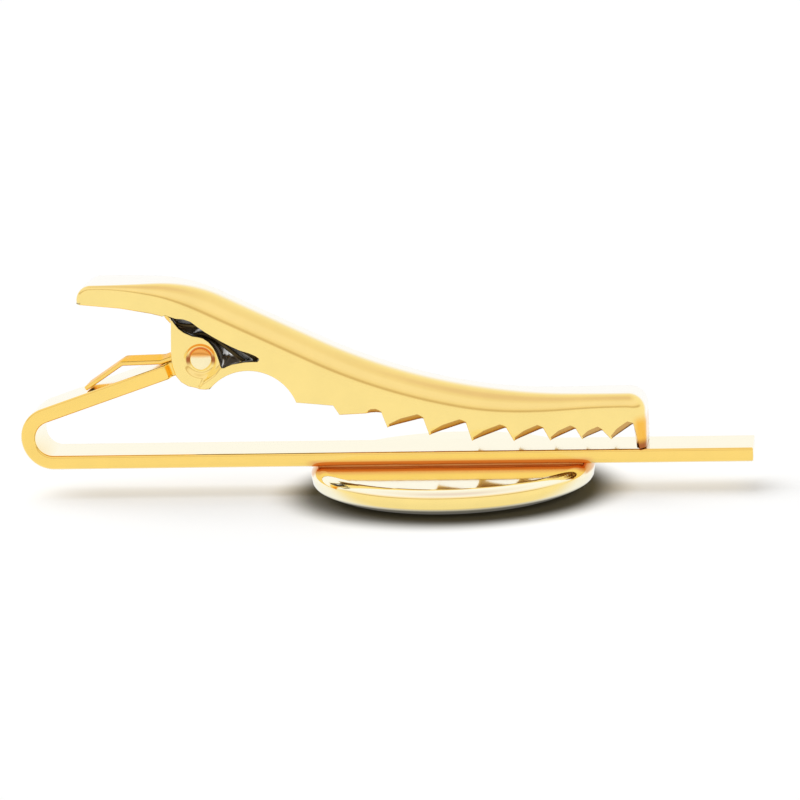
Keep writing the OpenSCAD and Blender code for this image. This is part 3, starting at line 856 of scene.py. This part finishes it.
def ear_points(ring):
    """Inner points for a side wall: rings round the dish, rows beside the crease, and a fill between."""
    edge = np.vstack([ring, ring[:1]])
    pts = [r * unit(2 * math.pi * i / DISH_SPOKES) for r in DISH_RINGS for i in range(DISH_SPOKES)]
    crease = np.array(refine([tuple(p) for p in CREASE], CREASE_STEP))
    side = np.gradient(crease, axis=0)
    side /= np.linalg.norm(side, axis=1)[:, None]
    side = np.stack([side[:, 1], -side[:, 0]], axis=1)
    for off in CREASE_ROWS:
        pts += list(crease + side * off)
    own = np.array(pts)
    own = own[inside(own, ring)]
    own = own[away(own, edge) > ROW_GAP]
    own = own[(away(own, crease) < CREASE_SKIP) | (np.hypot(own[:, 0], own[:, 1]) < DISH_OUT)]
    fill = mesh_points(EAR_BOX, EAR_MESH)
    fill = fill[inside(fill, ring) & ((fill[:, 0] < EAR_RIGHT) | inside(fill, EAR_AREA))]
    fill = fill[away(fill, edge) > EAR_GAP]
    fill = fill[(np.hypot(fill[:, 0], fill[:, 1]) > DISH_SKIP) & (away(fill, crease) > CREASE_SKIP)]
    wide = mesh_points(WALL_BOX, WALL_MESH)
    near_ear = (wide[:, 0] < EAR_BOX[1]) & (wide[:, 0] > EAR_LEFT) & (wide[:, 1] < EAR_BOX[3])
    wide = wide[inside(wide, ring) & ~near_ear]
    wide = wide[away(wide, edge) > WALL_GAP]
    keep = []
    for p in np.vstack([own, fill, wide]):
        if not keep or np.min(np.hypot(*(np.array(keep[-400:]) - p).T)) > LEAST_GAP:
            keep.append(p)
    return [tuple(p) for p in keep]


def wall_sheet(low, upper):
    """Triangles over a side wall and its ear, as 2-D points and faces."""
    ring = []
    for q in low + upper:
        if not ring or math.hypot(q[0] - ring[-1][0], q[1] - ring[-1][1]) > SAME_POINT:
            ring.append(q)
    verts = [Vector(q) for q in ring + ear_points(np.array(ring))]
    out = delaunay_2d_cdt(verts, [(i, (i + 1) % len(ring)) for i in range(len(ring))], [], 1, MESH_EXACT)
    return np.array([tuple(v) for v in out[0]]), out[2]


def jaw_piece():
    skin = Skin()
    grids = [np.array(cap_grid(0.0)), np.array(cap_grid(SHEET))]
    line = side_outline()
    pts = np.array([(x, z) for x, z, _, _ in line])
    into = inward(pts)
    cuts = [np.array([b for _, _, b, _ in line])]
    cuts.append(np.minimum(cuts[0], INNER_EDGE))
    column = grids[0][:, 0, :][:, [0, 2]]

    def pushed(cut):
        """The side outline moved into the wall by cut, with its two ends kept on the cap's columns."""
        p = pts + into * cut[:, None]
        p[0] = column[0] + (0, cut[0])
        p[-1] = column[-1] + (0, cut[-1])
        return p

    # the two side walls, outside and inside
    for layer in (0, 1):
        upper = [tuple(u) for u in column[1:-1][::-1]]
        flat, faces = wall_sheet([tuple(q) for q in pushed(cuts[layer])], upper)
        deep = JAW_W / 2 - press(flat) - (SHEET if layer else 0)
        for side in (1, -1):
            ids = skin.add([(x, side * y, z) for (x, z), y in zip(flat, deep)])
            for f in faces:
                skin.face([ids[k] for k in f], INSIDE if layer else 0)

    # the top, the tab's end and the nose, outside and inside
    for layer, g in enumerate(grids):
        g = g.copy()
        g[0, :, 2] += cuts[layer][0]
        g[-1, :, 2] += cuts[layer][-1]
        ids = [skin.add(row) for row in g]
        for a, b in zip(ids, ids[1:]):
            skin.strip(a, b, mat=INSIDE if layer else 0)

    # the sheet's edge between the two faces, with softened corners
    bend = [(1 - math.sin(a), 1 - math.cos(a), 0) for a in quarter(3)]
    bend += [(1 - math.sin(a), 1 - math.cos(a), 1) for a in reversed(quarter(3))]

    def rim(points_at, mats):
        loops = [skin.add(points_at(*step)) for step in bend]
        for k, (a, b) in enumerate(zip(loops, loops[1:])):
            for i in range(len(a) - 1):
                skin.face((a[i], a[i + 1], b[i + 1], b[i]), mats(i, k))

    def wall_metal(i, k):
        if line[i][3] == "slit" and k > 0:
            return INSIDE
        # the teeth's sheared bands take the sheared edge's material, darkened as painted shade
        return SHEARED_SHADED if line[i][3] == "tooth" and cuts[0][i] > 0.1 and k < 3 else 0

    for side in (1, -1):
        def wall_rim(push, share, layer):
            p = pushed(cuts[layer] * push)
            deep = np.minimum(cuts[layer], 0.3) * share
            y = JAW_W / 2 - press(p) - (SHEET - deep if layer else deep)
            return [(x, side * h, z) for (x, z), h in zip(p, y)]

        rim(wall_rim, wall_metal)

    for j in (0, -1):
        def end_rim(push, share, layer):
            c = cuts[layer][j]
            t = c * share / SHEET if layer == 0 else 1 - c * share / SHEET
            return grids[0][j] + (grids[1][j] - grids[0][j]) * t + (0, 0, c * push)

        rim(end_rim, lambda i, k: 0)
    return skin.build("clamp_jaw", [jaw_gold, sheared_shaded_gold, inside_shaded_gold], weld=JAW_WELD)


jaw = jaw_piece()
jaw.data.transform(Matrix.Translation((HX * MM, 0, HZ * MM)))
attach(jaw, "jaw")
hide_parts("clip_jaw")


# Floor, world, lamps and camera; spans are (from, to, value at from, value at to), lengths in mm
FLOOR_HALF, FLOOR_WHITE, PAINTED_CONTACT_SHADOW = 3000.0, (0.97, 0.97, 0.965), (0.02, 0.018, 0.012)
LIFT_OVAL, LIFT = (1.25, 0.8, 1.0), (12.0, 17.0, 0.0, 0.55)
MIRRORED, CONTACT = (8.6, 10.4, 0.1, 0.92), (9.6, 13.2, 0.12, 1.0)


def floor_paint():
    """A pale floor: a painted contact shadow where the disc stands on it, lifted to white away from it by a
    glow that pales the cast shadow there, and for reflections.
    """
    m = bpy.data.materials.new("pale_floor")
    m.use_nodes = True
    nt = m.node_tree
    b = nt.nodes["Principled BSDF"]
    b.inputs["Roughness"].default_value = 0.85
    b.inputs["Specular IOR Level"].default_value = 0.1
    glow = node(nt, "ShaderNodeEmission", Color=(1, 1, 1, 1), Strength=1.0)
    co = node(nt, "ShaderNodeTexCoord")
    oval = node(nt, "ShaderNodeMapping", Scale=LIFT_OVAL)
    nt.links.new(co.outputs["Object"], oval.inputs[0])

    def fade(source, start, end, low, high):
        return scaled(nt, length_of(nt, source), start * MM, end * MM, low, high)

    # the painted contact shadow, darkest at the disc's edge and fading to the floor's white
    nt.links.new(mixed(nt, fade(co.outputs["Object"], *CONTACT), PAINTED_CONTACT_SHADOW, FLOOR_WHITE),
                 b.inputs["Base Color"])
    path = node(nt, "ShaderNodeLightPath")
    shiny = maths(nt, "MULTIPLY", path.outputs["Is Glossy Ray"], fade(co.outputs["Object"], *MIRRORED))
    lift = maths(nt, "MAXIMUM", fade(oval.outputs[0], *LIFT), shiny)
    shader = either(nt, lift, b.outputs[0], glow.outputs[0])
    nt.links.new(shader, nt.nodes["Material Output"].inputs["Surface"])
    return m


def floor_piece():
    h = FLOOR_HALF * MM
    mesh = bpy.data.meshes.new("studio_floor")
    mesh.from_pydata([(-h, -h, 0), (h, -h, 0), (h, h, 0), (-h, h, 0)], [], [(0, 1, 2, 3)])
    mesh.materials.append(floor_paint())
    o = bpy.data.objects.new("studio_floor", mesh)
    bpy.context.scene.collection.objects.link(o)


floor_piece()

# What reflections see of the studio, by height from -1 straight down to 1 straight up
NEAR_WALL = ((-0.1, (1, 1, 1)), (0.22, (1, 0.99, 0.97)), (0.31, (0.7, 0.58, 0.45)), (0.36, (0.7, 0.58, 0.45)),
             (0.5, (0.96, 0.9, 0.84)), (0.66, (1, 0.96, 1)), (0.85, (1, 0.97, 1)), (0.94, (0.94, 0.88, 0.84)),
             (1.0, (0.86, 0.75, 0.74)))
FAR_WALL = ((0.0, (1, 1, 1)), (0.78, (1, 1, 1)), (0.93, (0.95, 0.9, 0.86)), (1.0, (0.86, 0.75, 0.74)))
WALLS_MEET, SKY_LIGHT, BOUNCES_TO_WHITE = 0.25, 0.13, 2.0


def studio_world():
    """White for the camera, a weak even light for the rest, and the two walls for reflections."""
    w = bpy.data.worlds.new("studio")
    bpy.context.scene.world = w
    w.use_nodes = True
    nt = w.node_tree
    nt.nodes.clear()
    out = node(nt, "ShaderNodeOutputWorld")
    co = node(nt, "ShaderNodeTexCoord")
    sep = node(nt, "ShaderNodeSeparateXYZ")
    nt.links.new(co.outputs["Generated"], sep.inputs[0])
    height = scaled(nt, sep.outputs["Z"], -1.0, 1.0, kind="LINEAR")

    def ramp(stops):
        r = node(nt, "ShaderNodeValToRGB")
        r.color_ramp.interpolation = "EASE"
        el = r.color_ramp.elements
        while len(el) > 1:
            el.remove(el[-1])
        for k, (level, colour) in enumerate(stops):
            e = el[0] if k == 0 else el.new((level + 1) / 2)
            e.position = (level + 1) / 2
            e.color = (*colour, 1)
        nt.links.new(height, r.inputs["Fac"])
        return r.outputs["Color"]

    side = scaled(nt, sep.outputs["Y"], -WALLS_MEET, WALLS_MEET, kind="LINEAR")
    walls = mixed(nt, side, ramp(NEAR_WALL), ramp(FAR_WALL))
    path = node(nt, "ShaderNodeLightPath")
    later = maths(nt, "SUBTRACT", path.outputs["Ray Depth"], BOUNCES_TO_WHITE, clamp=True)
    seen = node(nt, "ShaderNodeBackground", Strength=1.0)
    nt.links.new(mixed(nt, later, walls, (1, 1, 1)), seen.inputs["Color"])
    soft = node(nt, "ShaderNodeBackground", Color=(1, 1, 1, 1), Strength=SKY_LIGHT)
    white = node(nt, "ShaderNodeBackground", Color=(1, 1, 1, 1), Strength=1.0)
    lit = either(nt, path.outputs["Is Glossy Ray"], soft.outputs[0], seen.outputs[0])
    shader = either(nt, path.outputs["Is Camera Ray"], lit, white.outputs[0])
    nt.links.new(shader, out.inputs["Surface"])


studio_world()


def sun(name, away_to, spread, strength):
    d = bpy.data.lights.new(name, "SUN")
    d.angle = math.radians(spread)
    d.energy = strength
    o = bpy.data.objects.new(name, d)
    o.rotation_euler = Vector(away_to).to_track_quat("-Z", "Y").to_euler()
    o.visible_glossy = False
    bpy.context.scene.collection.objects.link(o)


sun("soft_sun", (0.6, -0.2, -1.0), 66, 3.45)

# The camera: its angles in degrees, and its place in mm to the right of, above and back from its aim
CAM_AZ, CAM_EL, CAM_ROLL = 7.17, 11.84, 2.27
CAM_AIM, CAM_RIGHT, CAM_UP, CAM_BACK = Vector((-1.72, 0, 2.1)), -1.995, 4.194, 280.45
LENS, SENSOR, NEAREST, FURTHEST = 180.0, 36.0, 10.0, 50000.0


def photo_camera():
    az, el, roll = (math.radians(v) for v in (CAM_AZ, CAM_EL, CAM_ROLL))
    d = Vector((-math.sin(az) * math.cos(el), math.cos(az) * math.cos(el), -math.sin(el)))
    level = Vector((math.cos(az), math.sin(az), 0))
    above = level.cross(d)
    right = level * math.cos(roll) - above * math.sin(roll)
    up = level * math.sin(roll) + above * math.cos(roll)
    c = bpy.data.cameras.new("photo_camera")
    c.lens, c.sensor_width = LENS, SENSOR
    c.clip_start, c.clip_end = NEAREST * MM, FURTHEST * MM
    o = bpy.data.objects.new("photo_camera", c)
    bpy.context.scene.collection.objects.link(o)
    m = Matrix((right, up, -d)).transposed().to_4x4()
    m.translation = (right * CAM_RIGHT + up * CAM_UP - d * CAM_BACK + CAM_AIM) * MM
    o.matrix_world = m
    bpy.context.scene.camera = o


photo_camera()
bpy.context.scene.view_settings.view_transform = "Standard"
